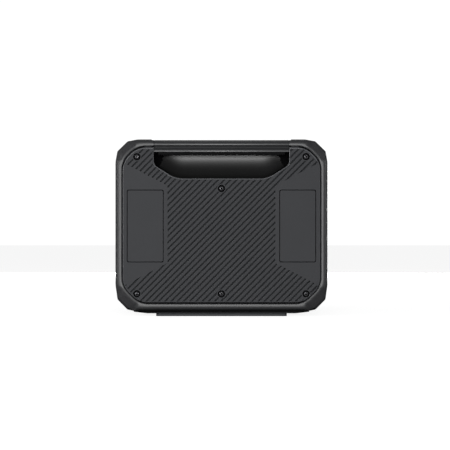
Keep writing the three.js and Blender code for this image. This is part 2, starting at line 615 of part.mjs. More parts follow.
place('bms_bracket', bmsBracket(), aluminium);
place('bms_board', bmsBoard(), boardGreen);
const leadZ = postTop + 3.5;
place('negative_lead', lead(4, [[cellX(0), -innerPost, leadZ], [cellX(0), -innerPost - 2, leadZ + 7],
  [-76, -56, 154], [-76, -71, 166], [-72, -63, 188], [-60, -40, 196], [-56, -27, 188.6]]), blackCable);
place('positive_lead', lead(4, [[cellX(0), innerPost, leadZ], [cellX(0) + 1, innerPost + 2, leadZ + 7],
  [-60, 58, 154], [-20, 70, 154], [60, 70, 154], [96, 68, 150], [108.6, 67, 145]]), redCable);

export default battery;
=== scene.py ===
# The looks of the stackable expansion battery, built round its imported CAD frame.
import json
import math

import bmesh
import bpy
from mathutils import Matrix, Vector


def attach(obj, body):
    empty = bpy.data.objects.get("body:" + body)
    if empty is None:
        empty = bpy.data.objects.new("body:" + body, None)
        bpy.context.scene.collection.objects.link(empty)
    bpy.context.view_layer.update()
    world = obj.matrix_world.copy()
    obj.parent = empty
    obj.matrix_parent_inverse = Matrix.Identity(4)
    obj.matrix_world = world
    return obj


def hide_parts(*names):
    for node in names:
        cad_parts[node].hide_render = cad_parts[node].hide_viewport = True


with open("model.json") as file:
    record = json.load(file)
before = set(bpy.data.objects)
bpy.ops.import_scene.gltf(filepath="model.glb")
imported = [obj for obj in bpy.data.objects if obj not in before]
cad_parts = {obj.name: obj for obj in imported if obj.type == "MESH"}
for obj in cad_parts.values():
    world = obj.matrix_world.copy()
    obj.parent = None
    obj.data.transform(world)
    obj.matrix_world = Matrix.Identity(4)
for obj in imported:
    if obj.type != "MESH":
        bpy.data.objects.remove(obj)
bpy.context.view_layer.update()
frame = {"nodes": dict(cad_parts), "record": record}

MM = 0.001

# ---------------------------------------- sizes in millimetres, as in the CAD part
HALF_W, HALF_L, HEIGHT = 147.0, 210.0, 245.0  # of the whole battery
GAP, WALL = 0.3, 3.0  # between neighbours; of the housings
FRAME_BACK, BODY_BOTTOM, RIM = 154.0, 6.5, 7.5
PANEL_FACE, PANEL_THICK, HOUSING_END = 208.0, 4.7, 200.0
SCREWS = [(-117, 220.7), (117, 220.7), (0, 176.8), (-117, 31), (0, 31), (117, 31)]  # (x, z)
OPENING_HALF, OPENING_SHOULDER, OPENING_FLOOR, OPENING_FLOOR_HALF = 93.6, 209.8, 190.6, 63.6
SHOULDER_R, FLOOR_R = 9.5, 37.0
WELL_DEPTH, WELL_WALL = 46.0, 2.5
WELL_TURN, FLOOR_LIFT = 27.0, 1.22  # the curve up its back: its radius, and the floor's rise per mm
BAR_TOP, BAR_BOTTOM, BAR_BACK, BAR_HALF = 244.0, 227.6, 184.0, 93.3
CORE_Y, CORE_Z, CORE_R = 195.0, 234.5, 4.0  # the steel rod in each bar
BODY_HALF, BODY_TOP, BODY_END = HALF_W - 3.5, 241.5, FRAME_BACK - GAP
DECK_TOP, DECK_HALF, MAT_X, MAT_Y, MAT_SINK = 244.0, 93.3, 84.0, 138.0, 2.0
SPLIT_Z, SEAL = 104.0, 2.0  # where the two housings meet
FOOT_HALF, FOOT_HEIGHT, FOOT_L = 90.6, 4.0, 200.0
# the plates in the side windows: service cover and control panel
SIDE_Y, SIDE_LOW, SIDE_HIGH, SIDE_FACE, SIDE_BACK = 104.0, 117.0, 211.0, 144.3, 137.2
BAY_Y, BAY_Z, BAY_BACK = (-22.0, 84.0), (126.0, 164.0), 126.0  # the bay behind the port door
DOOR_LIP, DOOR_THICK, HINGE_X, HINGE_Z = 3.0, 3.0, 141.3, 168.0
SOCKET_Y, SOCKET_Z = (6.0, 56.0), 144.0
BUTTON_Y, BUTTON_Z, BUTTON_R = -62.0, 145.0, 9.0
DISPLAY_Y, DISPLAY_Z, DISPLAY_HY, DISPLAY_HZ = -62.0, 186.0, 32.0, 9.0
LABEL_X, LABEL_HALF, LABEL_LOW, LABEL_HIGH = 105.4, 25.5, 74.6, 175.2
RIB_PITCH, RIB_PHASE, GROOVE, GROOVE_DEPTH = 6.075, 3.2, 1.8, 1.9  # across the 45 degree ribs


# ---------------------------------------- outlines
def rounded(corners, steps=6):
    """An outline from corners (a, b, radius)."""
    points = []
    for i, (a, b, radius) in enumerate(corners):
        corner = Vector((a, b))
        if not radius:
            points.append((a, b))
            continue
        before = (Vector(corners[i - 1][:2]) - corner).normalized()
        after = (Vector(corners[(i + 1) % len(corners)][:2]) - corner).normalized()
        half = math.acos(max(-1, min(1, before.dot(after)))) / 2
        centre = corner + (before + after).normalized() * (radius / math.sin(half))
        start = corner + before * (radius / math.tan(half)) - centre
        side = 1 if before.x * after.y - before.y * after.x < 0 else -1
        for s in range(steps + 1):
            turn = Matrix.Rotation(side * (math.pi - 2 * half) * s / steps, 2)
            points.append(tuple(turn @ start + centre))
    return points


def rectangle(a_low, a_high, b_low, b_high, radius, steps=6):
    return rounded([(a_low, b_low, radius), (a_high, b_low, radius),
                    (a_high, b_high, radius), (a_low, b_high, radius)], steps)


def circle(a, b, radius, steps=32):
    turns = [2 * math.pi * k / steps for k in range(steps)]
    return [(a + radius * math.cos(t), b + radius * math.sin(t)) for t in turns]


def grow(outline, distance):
    """The outline moved outward by a distance; it runs anticlockwise."""
    out = []
    for i, point in enumerate(outline):
        p = Vector(point)
        e1 = p - Vector(outline[i - 1])
        e2 = Vector(outline[(i + 1) % len(outline)]) - p
        e1 = e1.normalized() if e1.length > 1e-7 else e2.normalized()
        e2 = e2.normalized() if e2.length > 1e-7 else e1
        n = Vector((e1.y, -e1.x)) + Vector((e2.y, -e2.x))
        n = n.normalized()
        lean = max(0.3, n.dot(Vector((e1.y, -e1.x))))
        out.append(tuple(p + n * (distance / lean)))
    return out


def both_sides(right):
    return right + [(-x, z, r) for x, z, r in reversed(right)]


def silhouette(inset, bottom=BODY_BOTTOM, steps=4):
    """The outer outline of the end frames, shrunk by `inset`."""
    return rounded(both_sides([
        (118 - inset, bottom, 26), (130.3 - 0.8 * inset, 9 + 0.6 * inset, 5),
        (144.2 - inset, 23 + 0.5 * inset, 5), (HALF_W - inset, 43, 40),
        (HALF_W - inset, 214, 30), (144.4 - inset, 228.5 - 0.6 * inset, 4),
        (130.1 - 0.6 * inset, 242.4 - inset, 4), (116, HEIGHT - inset, 26)]), steps)


def octagon(half, low, high, cut_low, cut_high, radius=30, steps=4):
    """As many points as silhouette(), which has two corners for each of these."""
    return rounded(both_sides([
        (half - cut_low, low, radius), (half, low + cut_low, radius),
        (half, high - cut_high, radius), (half - cut_high, high, radius)]), 2 * steps + 1)


def inner_edge(inset=0):
    """The hole in the end frames, shrunk by `inset`."""
    return octagon(HALF_W - RIM - inset, 16.3 + inset, 236.5 - inset,
                   25 - 0.6 * inset, 21.5 - 0.6 * inset)


def opening(growth, top, turn=0.0, steps=10):
    """The hand opening, grown by a distance; `turn` closes it in, where the well's back curves up."""
    run, rise = OPENING_HALF - OPENING_FLOOR_HALF, OPENING_SHOULDER - OPENING_FLOOR
    length = math.hypot(run, rise)
    nx, nz = -rise / length, run / length
    reach = nx * OPENING_FLOOR_HALF + nz * OPENING_FLOOR - growth + turn * (1 + FLOOR_LIFT) / 2
    half = OPENING_HALF + growth - turn
    floor = OPENING_FLOOR - growth + turn * FLOOR_LIFT
    shoulder, floor_half = (reach - nx * half) / nz, (reach - nz * floor) / nx
    return rounded([(-floor_half, floor, FLOOR_R), (floor_half, floor, FLOOR_R),
                    (half, shoulder, SHOULDER_R), (half, top, 0),
                    (-half, top, 0), (-half, shoulder, SHOULDER_R)], steps)


# ---------------------------------------- meshes, as (points, faces) in millimetres
def loft(rings, closed=False):
    """Joins rings of equally many points, and caps both ends or joins the last ring to the first."""
    n = len(rings[0])
    points = [p for ring in rings for p in ring]
    faces = []
    for r in range(len(rings) if closed else len(rings) - 1):
        here, there = r * n, ((r + 1) % len(rings)) * n
        for i in range(n):
            j = (i + 1) % n
            faces.append((here + i, here + j, there + j, there + i))
    if not closed:
        faces.append(tuple(range(n))[::-1])
        faces.append(tuple(range((len(rings) - 1) * n, len(rings) * n)))
    return points, faces


def along(axis, outline, at):
    """The outline's two numbers lie along the two axes that aren't `axis`."""
    if axis == "x":
        return [(at, a, b) for a, b in outline]
    if axis == "y":
        return [(a, at, b) for a, b in outline]
    return [(a, b, at) for a, b in outline]


def prism(axis, outline, low, high, edge=0.0, ends=(True, True), steps=3):
    """A plate with its rim edges rounded to the radius `edge`, at the low end, the high end or both."""
    rims = []  # (how far the outline shrinks, how far in from the end)
    for s in range(steps):
        a = math.pi / 2 * s / steps
        rims.append((edge * (1 - math.sin(a)), edge * (1 - math.cos(a))))
    rings = []
    if edge and ends[0]:
        rings += [along(axis, grow(outline, -inset), low + depth) for inset, depth in rims]
        rings.append(along(axis, outline, low + edge))
    else:
        rings.append(along(axis, outline, low))
    if edge and ends[1]:
        rings.append(along(axis, outline, high - edge))
        rings += [along(axis, grow(outline, -inset), high - depth) for inset, depth in reversed(rims)]
    else:
        rings.append(along(axis, outline, high))
    return loft(rings)


def lathe(axis, profile, a, b, steps=32):
    """profile is (radius, place along the axis); it is closed onto the axis at both ends."""
    return loft([along(axis, circle(a, b, max(r, 0.01), steps), at) for r, at in profile])


def block(x, y, z):
    return loft([along("z", [(x[0], y[0]), (x[1], y[0]), (x[1], y[1]), (x[0], y[1])], h) for h in z])


def joined(*parts):
    points, faces = [], []
    for p, f in parts:
        start = len(points)
        points += p
        faces += [tuple(i + start for i in face) for face in f]
    return points, faces


def made(name, part):
    """A Blender object of that mesh, in metres."""
    mesh = bpy.data.meshes.new(name)
    mesh.from_pydata([tuple(c * MM for c in p) for p in part[0]], [], part[1])
    bm = bmesh.new()
    bm.from_mesh(mesh)
    bmesh.ops.recalc_face_normals(bm, faces=bm.faces)
    bm.to_mesh(mesh)
    bm.free()
    obj = bpy.data.objects.new(name, mesh)
    bpy.context.scene.collection.objects.link(obj)
    return obj


def bake(obj):
    """Applies the object's modifiers."""
    graph = bpy.context.evaluated_depsgraph_get()
    mesh = bpy.data.meshes.new_from_object(obj.evaluated_get(graph))
    obj.modifiers.clear()
    old, obj.data = obj.data, mesh
    bpy.data.meshes.remove(old)
    mesh.name = obj.name
    return obj


def cut(obj, *parts, operation="DIFFERENCE"):
    """Takes each part away from the object, or adds it, or keeps only what they share."""
    tools = []
    for part in parts:
        tool = part if isinstance(part, bpy.types.Object) else made("cutter", part)
        step = obj.modifiers.new("cut", "BOOLEAN")
        step.operation, step.solver, step.object = operation, "MANIFOLD", tool
        tools.append(tool)
    bake(obj)
    for tool in tools:
        mesh = tool.data
        bpy.data.objects.remove(tool)
        bpy.data.meshes.remove(mesh)
    return obj


# ---------------------------------------- materials
def srgb(*values):
    """The linear colour of a screen colour given as 0 to 255."""
    parts = [v / 255 for v in values]
    return tuple(v / 12.92 if v <= 0.04045 else ((v + 0.055) / 1.055) ** 2.4 for v in parts)


def moulded(name, colour, roughness, metallic=0.0, grain=0.5, bump=0.15, mottle=0.06,
            spread=0.06, coat=0.0, stretch=(1, 1, 1), specular=0.5):
    """A surface with a fine grain (size in mm), and slow changes of tone and gloss across it."""
    material = bpy.data.materials.new(name)
    material.use_nodes = True
    nodes, links = material.node_tree.nodes, material.node_tree.links
    shader = nodes["Principled BSDF"]
    shader.inputs["Metallic"].default_value = metallic
    shader.inputs["Coat Weight"].default_value = coat
    shader.inputs["Specular IOR Level"].default_value = specular
    place = nodes.new("ShaderNodeTexCoord")
    scale = nodes.new("ShaderNodeMapping")
    scale.inputs["Scale"].default_value = stretch
    links.new(place.outputs["Object"], scale.inputs["Vector"])

    slow = nodes.new("ShaderNodeTexNoise")
    slow.inputs["Scale"].default_value = 22.0
    slow.inputs["Detail"].default_value = 3.0
    links.new(scale.outputs["Vector"], slow.inputs["Vector"])
    fine = nodes.new("ShaderNodeTexNoise")
    fine.inputs["Scale"].default_value = 1000.0 / grain
    fine.inputs["Detail"].default_value = 2.0
    fine.inputs["Roughness"].default_value = 0.65
    links.new(scale.outputs["Vector"], fine.inputs["Vector"])

    tone = nodes.new("ShaderNodeMix")
    tone.data_type = "RGBA"
    tone.inputs["A"].default_value = (*[c * (1 - mottle) for c in colour], 1)
    tone.inputs["B"].default_value = (*[min(1, c * (1 + mottle)) for c in colour], 1)
    links.new(slow.outputs["Fac"], tone.inputs["Factor"])
    links.new(tone.outputs["Result"], shader.inputs["Base Color"])

    gloss = nodes.new("ShaderNodeMapRange")
    gloss.inputs["From Min"].default_value, gloss.inputs["From Max"].default_value = 0.3, 0.7
    gloss.inputs["To Min"].default_value = max(0.02, roughness - spread)
    gloss.inputs["To Max"].default_value = min(1.0, roughness + spread)
    links.new(fine.outputs["Fac"], gloss.inputs["Value"])
    links.new(gloss.outputs["Result"], shader.inputs["Roughness"])

    relief = nodes.new("ShaderNodeBump")
    relief.inputs["Strength"].default_value = bump
    relief.inputs["Distance"].default_value = grain * MM * 0.5
    links.new(fine.outputs["Fac"], relief.inputs["Height"])
    links.new(relief.outputs["Normal"], shader.inputs["Normal"])
    return material


FRAME_SATIN = moulded("frame_satin", srgb(40, 41, 43), 0.54, grain=0.35, bump=0.06, specular=1.0)
FRAME_GRAIN = moulded("frame_grain", srgb(54, 54, 56), 0.55, grain=1.3, bump=0.9, spread=0.10,
                      mottle=0.10)
PANEL = moulded("panel_matte", srgb(52, 53, 56), 0.68, grain=0.45, bump=0.18, specular=0.35)
# painted highlight: a lighter, glossier colour for the bevels round the panel's rim and hand opening
PAINTED_EDGE_HIGHLIGHT = moulded("panel_edge_painted_highlight", srgb(82, 83, 86), 0.38, grain=0.35, bump=0.05, specular=1.0)
# painted highlight: a lighter colour for the bevels along the ribs
PAINTED_RIB_HIGHLIGHT = moulded("rib_edge_painted_highlight", srgb(60, 61, 64), 0.48, grain=0.35, bump=0.05, specular=0.6)
# painted shade: a darker colour for the walls and floors of the ribs' grooves
SHADE = moulded("groove_painted_shade", srgb(38, 39, 41), 0.75, grain=0.5, bump=0.15, specular=0.2)
# painted shade: near-black for screw counterbores and sockets, label gutters, the handle well and what
# lies behind the gaps round the end panels
PAINTED_RECESS_SHADE = moulded("recess_painted_shade", srgb(9, 9, 10), 0.85, grain=0.5, bump=0.1, specular=0.04)
WELL = moulded("well_black", srgb(6, 6, 6), 0.43, grain=0.3, bump=0.04, spread=0.03, specular=1.0)
GRIP = moulded("grip_black", srgb(13, 13, 14), 0.65, grain=0.5, bump=0.15, specular=0.05)
BAR = moulded("bar_satin", srgb(46, 47, 49), 0.49, grain=0.35, bump=0.06, specular=1.0)
# the stacking base's darker skid colour, also used as painted shade on the frames' down-facing faces
SKID_AND_UNDERSIDE_SHADE = moulded("skid_and_underside_shade", srgb(26, 27, 28), 0.75, grain=0.6, bump=0.2, specular=0.15)
FOOT = moulded("foot_rubber", srgb(54, 56, 59), 0.75, grain=0.6, bump=0.3, mottle=0.10)
RUBBER = moulded("rubber_black", srgb(36, 37, 39), 0.78, grain=0.6, bump=0.3, mottle=0.10)
MAT = moulded("mat_rubber", srgb(84, 85, 88), 0.72, grain=0.6, bump=0.3, mottle=0.10)
HOUSING = moulded("housing_texture", srgb(90, 91, 94), 0.60, grain=0.7, bump=0.35)
COVER = moulded("cover_matte", srgb(96, 97, 101), 0.58, grain=0.45, bump=0.22)
GLOSS = moulded("gloss_black", srgb(22, 23, 25), 0.16, grain=0.3, bump=0.02, spread=0.03, coat=0.3)
GLASS = moulded("display_glass", srgb(10, 11, 13), 0.06, grain=0.3, bump=0.0, spread=0.02, coat=1.0)
SCREW = moulded("screw_black", srgb(84, 84, 87), 0.30, metallic=0.6, grain=0.4, bump=0.08,
                specular=1.0)
STEEL = moulded("steel_drawn", srgb(170, 173, 176), 0.30, metallic=1.0, grain=0.25, bump=0.2,
                stretch=(0.04, 1, 1))
ALUMINIUM = moulded("aluminium_milled", srgb(196, 199, 203), 0.35, metallic=1.0, grain=0.3, bump=0.15,
                    stretch=(1, 0.05, 1))
COPPER = moulded("copper_rolled", srgb(200, 128, 88), 0.32, metallic=1.0, grain=0.4, bump=0.1,
                 mottle=0.12)
WRAP = moulded("cell_wrap", srgb(38, 88, 164), 0.38, grain=6.0, bump=0.08, mottle=0.05)
SHEET = moulded("insulator_sheet", srgb(214, 211, 200), 0.62, grain=1.2, bump=0.2, stretch=(1, 1, 0.2))
BOARD = moulded("circuit_board", srgb(22, 84, 46), 0.35, grain=2.2, bump=0.12, mottle=0.25)
RED = moulded("red_jacket", srgb(166, 30, 26), 0.45, grain=0.5, bump=0.1)
BLACK = moulded("black_jacket", srgb(24, 24, 24), 0.5, grain=0.5, bump=0.1)
SLOT_LOOKS = {
    "housing_plastic": HOUSING, "frame_plastic": FRAME_SATIN, "panel_plastic": PANEL,
    "well_plastic": WELL, "bar_plastic": BAR, "rubber": RUBBER, "gloss_black": GLOSS,
    "black_screw": SCREW, "steel": STEEL, "aluminium": ALUMINIUM, "copper": COPPER,
    "cell_wrap": WRAP, "insulator": SHEET, "board": BOARD, "red_cable": RED, "black_cable": BLACK}
NODE_SLOTS = {part["node"]: part["material_slot"] for part in frame["record"]["subparts"]}


def glowing():
    """The pale blue light of the display bars and the button's ring."""
    material = bpy.data.materials.new("display_light")
    material.use_nodes = True
    nodes, links = material.node_tree.nodes, material.node_tree.links
    shader = nodes["Principled BSDF"]
    noise = nodes.new("ShaderNodeTexNoise")
    noise.inputs["Scale"].default_value = 400.0
    tone = nodes.new("ShaderNodeMix")
    tone.data_type = "RGBA"
    tone.inputs["A"].default_value = (0.62, 0.75, 0.80, 1)
    tone.inputs["B"].default_value = (0.72, 0.84, 0.88, 1)
    links.new(noise.outputs["Fac"], tone.inputs["Factor"])
    links.new(tone.outputs["Result"], shader.inputs["Base Color"])
    shader.inputs["Roughness"].default_value = 0.4
    shader.inputs["Emission Color"].default_value = (0.7, 0.85, 0.9, 1)
    shader.inputs["Emission Strength"].default_value = 0.25
    return material


GLOW = glowing()

for name, node in frame["nodes"].items():
    node.data.materials.clear()
    node.data.materials.append(SLOT_LOOKS[NODE_SLOTS[name]])


def finished(obj, material, *nodes, body="battery", smooth=32):
    """Gives the piece its material and shading, and makes it stand for the CAD nodes."""
    obj.data.materials.clear()
    obj.data.materials.append(material)
    obj.data.shade_smooth()
    obj.data.set_sharp_from_angle(angle=math.radians(smooth))
    flat = set()  # a broad flat face keeps its flat shading up to its edges
    for face in obj.data.polygons:
        if len(face.vertices) > 4 and face.area > 30 * MM * MM and max(map(abs, face.normal)) > 0.9999:
            flat.update(face.edge_keys)
    for edge in obj.data.edges:
        if edge.key in flat:
            edge.use_edge_sharp = True
    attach(obj, body)
    if nodes:
        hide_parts(*nodes)
    return obj


def recolour(obj, material, chosen):
    """Gives another material to the faces chosen by their centre, in millimetres, and their normal."""
    obj.data.materials.append(material)
    for face in obj.data.polygons:
        if chosen(face.center / MM, face.normal):
            face.material_index = len(obj.data.materials) - 1


def inside(outline, point):
    """Whether the point is inside a convex outline that runs anticlockwise."""
    for i, (a, b) in enumerate(outline):
        edge = Vector((a - outline[i - 1][0], b - outline[i - 1][1]))
        if edge.length > 1e-6 and edge.x * (point[1] - b) - edge.y * (point[0] - a) < 0:
            return False
    return True


def turned(obj, name, *nodes):
    """The same piece at the other end, turned half round the vertical axis."""
    twin = bpy.data.objects.new(name, obj.data)
    bpy.context.scene.collection.objects.link(twin)
    twin.rotation_euler = (0, 0, math.pi)
    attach(twin, "battery")
    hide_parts(*nodes)
    return twin


# ---------------------------------------- end frame
def end_frame():
    outer = silhouette(0)
    ridge = octagon(HALF_W - RIM - 0.1, 15.6, 237.2, 25.0, 21.4)
    inner = inner_edge()
    per_corner = len(outer) // 16

    def ring(depth, side, corner, shape=outer):
        """From the ridge (0) to the outer shape (1), by one share on the sides and one on the corners."""
        out = []
        for i, ((rx, rz), (ox, oz)) in enumerate(zip(ridge, shape)):
            share = corner if (i // per_corner) % 4 in (1, 2) else side
            out.append((rx + (ox - rx) * share, -(HALF_L - depth), rz + (oz - rz) * share))
        return out

    rings = [along("y", grow(outer, -1.2), -FRAME_BACK),
             along("y", grow(outer, -0.35), -FRAME_BACK - 0.35),
             along("y", outer, -FRAME_BACK - 1.2)]
    turn_depth, fullness = 13, 2.4  # how far back the rounding starts, and how square it is
    depths = [turn_depth, 10, 7.3, 6.8, 4, 2, 0.8, 0.25, 0.02]
    corner_shares = [1, 0.905, 0.815, 0.775, 0.46, 0.29, 0.16, 0.08, 0]
    for depth, corner in zip(depths, corner_shares):
        side = (1 - (1 - depth / turn_depth) ** fullness) ** (1 / fullness)
        rings.append(ring(depth, side, corner))
    # the lip is turned in at the front, over the panel's edge
    lip = octagon(HALF_W - RIM - 1.9, 17.4, 235.4, 24.2, 20.7)
    rings += [ring(0.3, 0.5, 0.5, lip),
              along("y", lip, -(HALF_L - 1.4)), along("y", lip, -(HALF_L - 4.0)),
              along("y", inner, -(HALF_L - 5.5)), along("y", inner, -FRAME_BACK)]
    obj = made("front_end_frame_shell", loft(rings, closed=True))
    clear = OPENING_HALF + WELL_WALL + 2 * GAP  # room for the well, behind the rim
    top_rail = (228, HEIGHT + 2)
    cut(obj, block((-OPENING_HALF, OPENING_HALF), (-HALF_L - 2, -FRAME_BACK + 2), top_rail),
        block((-clear, clear), (-HALF_L + 5, -FRAME_BACK + 2), top_rail))
    finished(obj, FRAME_SATIN, "front_end_frame", smooth=24)
    recolour(obj, FRAME_GRAIN, lambda c, n: abs(n.x) > 0.24 and abs(n.z) > 0.24 and abs(n.y) < 0.93)
    # painted shade on the down-facing faces along the frame's bottom
    recolour(obj, SKID_AND_UNDERSIDE_SHADE, lambda c, n: n.z < -0.72 and c.z < 12)
    turned(obj, "rear_end_frame_shell", "rear_end_frame")


end_frame()


# ---------------------------------------- end panel with its diagonal ribs
def rib_grooves(a_range, b_range, at, depth, pitch=RIB_PITCH, phase=RIB_PHASE, width=GROOVE,
                axis="y", out=-1):
    """Bars that cut grooves at 45 degrees, rising to the right, into a face at `at` along the axis."""
    low = (a_range[0] - b_range[1]) / math.sqrt(2)
    high = (a_range[1] - b_range[0]) / math.sqrt(2)
    reach = math.hypot(a_range[1] - a_range[0], b_range[1] - b_range[0])
    middle = ((a_range[0] + a_range[1]) + (b_range[0] + b_range[1])) / (2 * math.sqrt(2))
    h = width / 2
    # half of a groove's section: across it, and out of the face
    half = [(h - 0.45, -depth), (h - 0.2, -depth + 0.3), (h, -0.35), (h + 0.55, 0.01), (h + 0.6, 0.6)]
    section = [(-du, height) for du, height in reversed(half)] + half
    parts = []
    for k in range(math.ceil((low - phase) / pitch), math.floor((high - phase) / pitch) + 1):
        u = phase + k * pitch
        rings = []
        for v in (middle - reach / 2, middle + reach / 2):
            ring = []
            for du, height in section:
                a = ((u + du) + v) / math.sqrt(2)
                b = (v - (u + du)) / math.sqrt(2)
                point = (a, b, at + out * height)
                ring.append({"y": (a, point[2], b), "z": (a, b, point[2]), "x": (point[2], a, b)}[axis])
            rings.append(ring)
        parts.append(loft(rings))
    return joined(*parts)


def hourglass(inset):
    """Where the ribs are: the whole panel but for a plain zone on each side."""
    d = inset * 0.55
    top, low = 230.8 - inset, 20.4 + inset * 0.4
    right = [(112.5 - inset, low), (133.4 - inset, low + 21), (133.4 - inset, 43.2 - inset),
             (74.5 - inset, 73.9 - d), (74.5 - inset, 180.7 + d), (133.4 - inset, 211.6 + inset),
             (133.4 - inset, 212.4 + inset * 1.1), (115 - inset, top)]
    return right + [(-x, z) for x, z in reversed(right)]


def end_panel():
    face = -PANEL_FACE
    outline = octagon(136.8, 19.2, 233.8, 22.5, 20)
    above = HEIGHT + 6  # the hand opening is cut out through the top
    obj = made("front_panel_ribbed",
               prism("y", outline, face, face + PANEL_THICK, 1.7, (True, False), 5))
    lip = [(1.25, -3), (1.25, -0.02), (0.75, 0.1), (0.35, 0.35), (0.1, 0.75), (0.0, 1.25), (0.0, 9)]
    handle = loft([along("y", opening(growth, above), face + depth) for growth, depth in lip])
    grooves = made("grooves", rib_grooves((-137, 137), (19, 234), face, GROOVE_DEPTH))
    zone = loft([along("y", hourglass(0.0), face - 2), along("y", hourglass(0.0), face - 0.01),
                 along("y", hourglass(1.7), face + 3)])
    cut(grooves, zone, operation="INTERSECT")
    islands = joined(*[lathe("y", [(6.3, face - 4), (6.3, face + 4)], x, z) for x, z in SCREWS])
    cut(grooves, islands, loft([along("y", opening(1.7, above), face + d) for d in (-4, 4)]))
    bore = [(5.35, face - 2), (5.35, face - 0.01), (5.05, face + 0.14), (4.85, face + 0.5),
            (4.85, face + 3.2), (2.2, face + 3.21), (2.2, face + 8)]
    bores = joined(*[lathe("y", bore, x, z) for x, z in SCREWS])
    labels, gutters = [], []
    for c in (-LABEL_X, LABEL_X):  # a shallow recess with a fine groove round it
        edges = [rectangle(c - LABEL_HALF + d, c + LABEL_HALF - d, LABEL_LOW + d, LABEL_HIGH - d, 2.2)
                 for d in (0, 0.15, 0.95, 1.15)]
        labels.append(loft([along("y", edges[1], face - 2), along("y", edges[1], face + 0.45)]))
        gutters.append(loft([along("y", edges[k], face + y) for k, y in (
            (0, -1.0), (0, 0.05), (1, 0.35), (1, 1.5), (2, 1.5), (3, 0.4), (3, -1.0))], closed=True))
    cut(obj, handle, grooves, bores, joined(*labels), joined(*gutters))
    finished(obj, PANEL, "front_end_panel", smooth=24)
    near_rim = octagon(134.4, 21.6, 231.4, 21.5, 19)
    near_lip = opening(1.5, above)

    def on_edge(c):
        return not inside(near_rim, (c.x, c.z)) or inside(near_lip, (c.x, c.z))

    def on_label(c):  # with a small margin round it
        return 79 < abs(c.x) < 133 and 73 < c.z < 176

    def at_screw(c):
        return min(math.hypot(c.x - x, c.z - z) for x, z in SCREWS) < 5.0

    # painted shade on the walls and floors of the rib grooves
    recolour(obj, SHADE, lambda c, n: 0.36 < c.y - face < 2.2 and not on_edge(c) and not on_label(c))
    # painted highlight on the bevels along each rib
    recolour(obj, PAINTED_RIB_HIGHLIGHT, lambda c, n: 0.02 < c.y - face < 0.36 and abs(n.x) > 0.2 and abs(n.z) > 0.2
             and not on_edge(c))
    # painted shade inside the screw counterbores
    recolour(obj, PAINTED_RECESS_SHADE, lambda c, n: c.y > face + 0.2 and at_screw(c))
    # painted shade on the floor of the fine groove round each label
    recolour(obj, PAINTED_RECESS_SHADE, lambda c, n: c.y > face + 1.2 and on_label(c) and n.y < -0.9)
    # painted highlight on the rim and lip bevels; the facet next to the face takes it only where it looks
    # upward
    recolour(obj, PAINTED_EDGE_HIGHLIGHT, lambda c, n: c.y < face + 1.4 and on_edge(c)
             and 0.2 < abs(n.y) < (0.995 if n.z > 0.08 else 0.97))
    turned(obj, "rear_panel_ribbed", "rear_end_panel")


end_panel()


# ---------------------------------------- panel screws
def screws():
    seat = -(PANEL_FACE - 3.2 + GAP)
    head = [(0, 13.5), (1.1, 13.5), (1.75, 12.2)]
    pitch = 0.9  # of a coarse thread
    for k in range(10):
        head += [(1.85, 11.8 - k * pitch), (1.5, 11.35 - k * pitch)]
    head += [(1.8, 2.6), (1.8, 0.0), (3.05, 0.0), (3.3, -0.25), (3.3, -0.9), (3.15, -1.35), (2.8, -1.8),
             (2.3, -2.15), (1.7, -2.38), (0, -2.5)]
    screw = made("panel_screw_mesh", lathe("y", head, 0, 0, 40))
    socket = [(1.65, -4), (1.65, -2.3), (1.35, -2.1), (1.35, -0.7)]
    cut(screw, loft([along("y", circle(0, 0, r, 6), y) for r, y in socket]))
    mesh = screw.data
    finished(screw, SCREW, smooth=35)
    # painted shade inside the hex socket
    recolour(screw, PAINTED_RECESS_SHADE, lambda c, n: math.hypot(c.x, c.z) < 1.6 and c.y > -2.35)
    bpy.data.objects.remove(screw)
    for end, side in (("front", 1), ("rear", -1)):
        for i, (x, z) in enumerate(SCREWS):
            piece = bpy.data.objects.new(f"{end}_screw_{i + 1}", mesh)
            bpy.context.scene.collection.objects.link(piece)
            piece.location = (x * MM, side * seat * MM, z * MM)
            turn = 0.4 + 1.1 * i  # each socket is left at its own angle
            piece.rotation_euler = (0, turn * side, 0 if side == 1 else math.pi)
            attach(piece, "battery")
            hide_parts(f"{end}_panel_screw_{i + 1}")


screws()


# ---------------------------------------- handle well, bar and grip
def well_rings(growth, front, back, top, steps=12):
    """The hand opening's outline from the well's front to its back, closing in along a quarter turn."""
    flat = back + WELL_TURN
    places = [(front, 0.0), ((front + flat) / 2, 0.0), (flat, 0.0)]
    for s in range(1, steps + 1):
        a = s / steps * math.pi / 2
        places.append((flat - WELL_TURN * math.sin(a), WELL_TURN * (1 - math.cos(a))))
    return [along("y", opening(growth + GAP, top, turn=turn), -y) for y, turn in places]


def handle_well():
    front = PANEL_FACE - PANEL_THICK - GAP
    back = front - WELL_DEPTH
    half = OPENING_HALF + GAP + WELL_WALL
    obj = made("front_well_scoop", loft(well_rings(WELL_WALL, front, back - WELL_WALL, BAR_TOP - GAP)))
    cut(obj, block((-half, half), (-BAR_BACK, -(back - WELL_WALL)), (BAR_TOP - GAP - 3, BAR_TOP - GAP)),
        operation="UNION")
    cut(obj, loft(well_rings(0, HALF_L + 2, back, HEIGHT + 4)),
        lathe("x", [(CORE_R + GAP, -110), (CORE_R + GAP, 110)], -CORE_Y, CORE_Z))
    finished(obj, WELL, "front_handle_well", smooth=30)
    # painted shade under the bar and at both ends of the well
    recolour(obj, PAINTED_RECESS_SHADE, lambda c, n: c.y < -BAR_BACK - 2 or abs(n.x) > 0.5)
    turned(obj, "rear_well_scoop", "rear_handle_well")


handle_well()


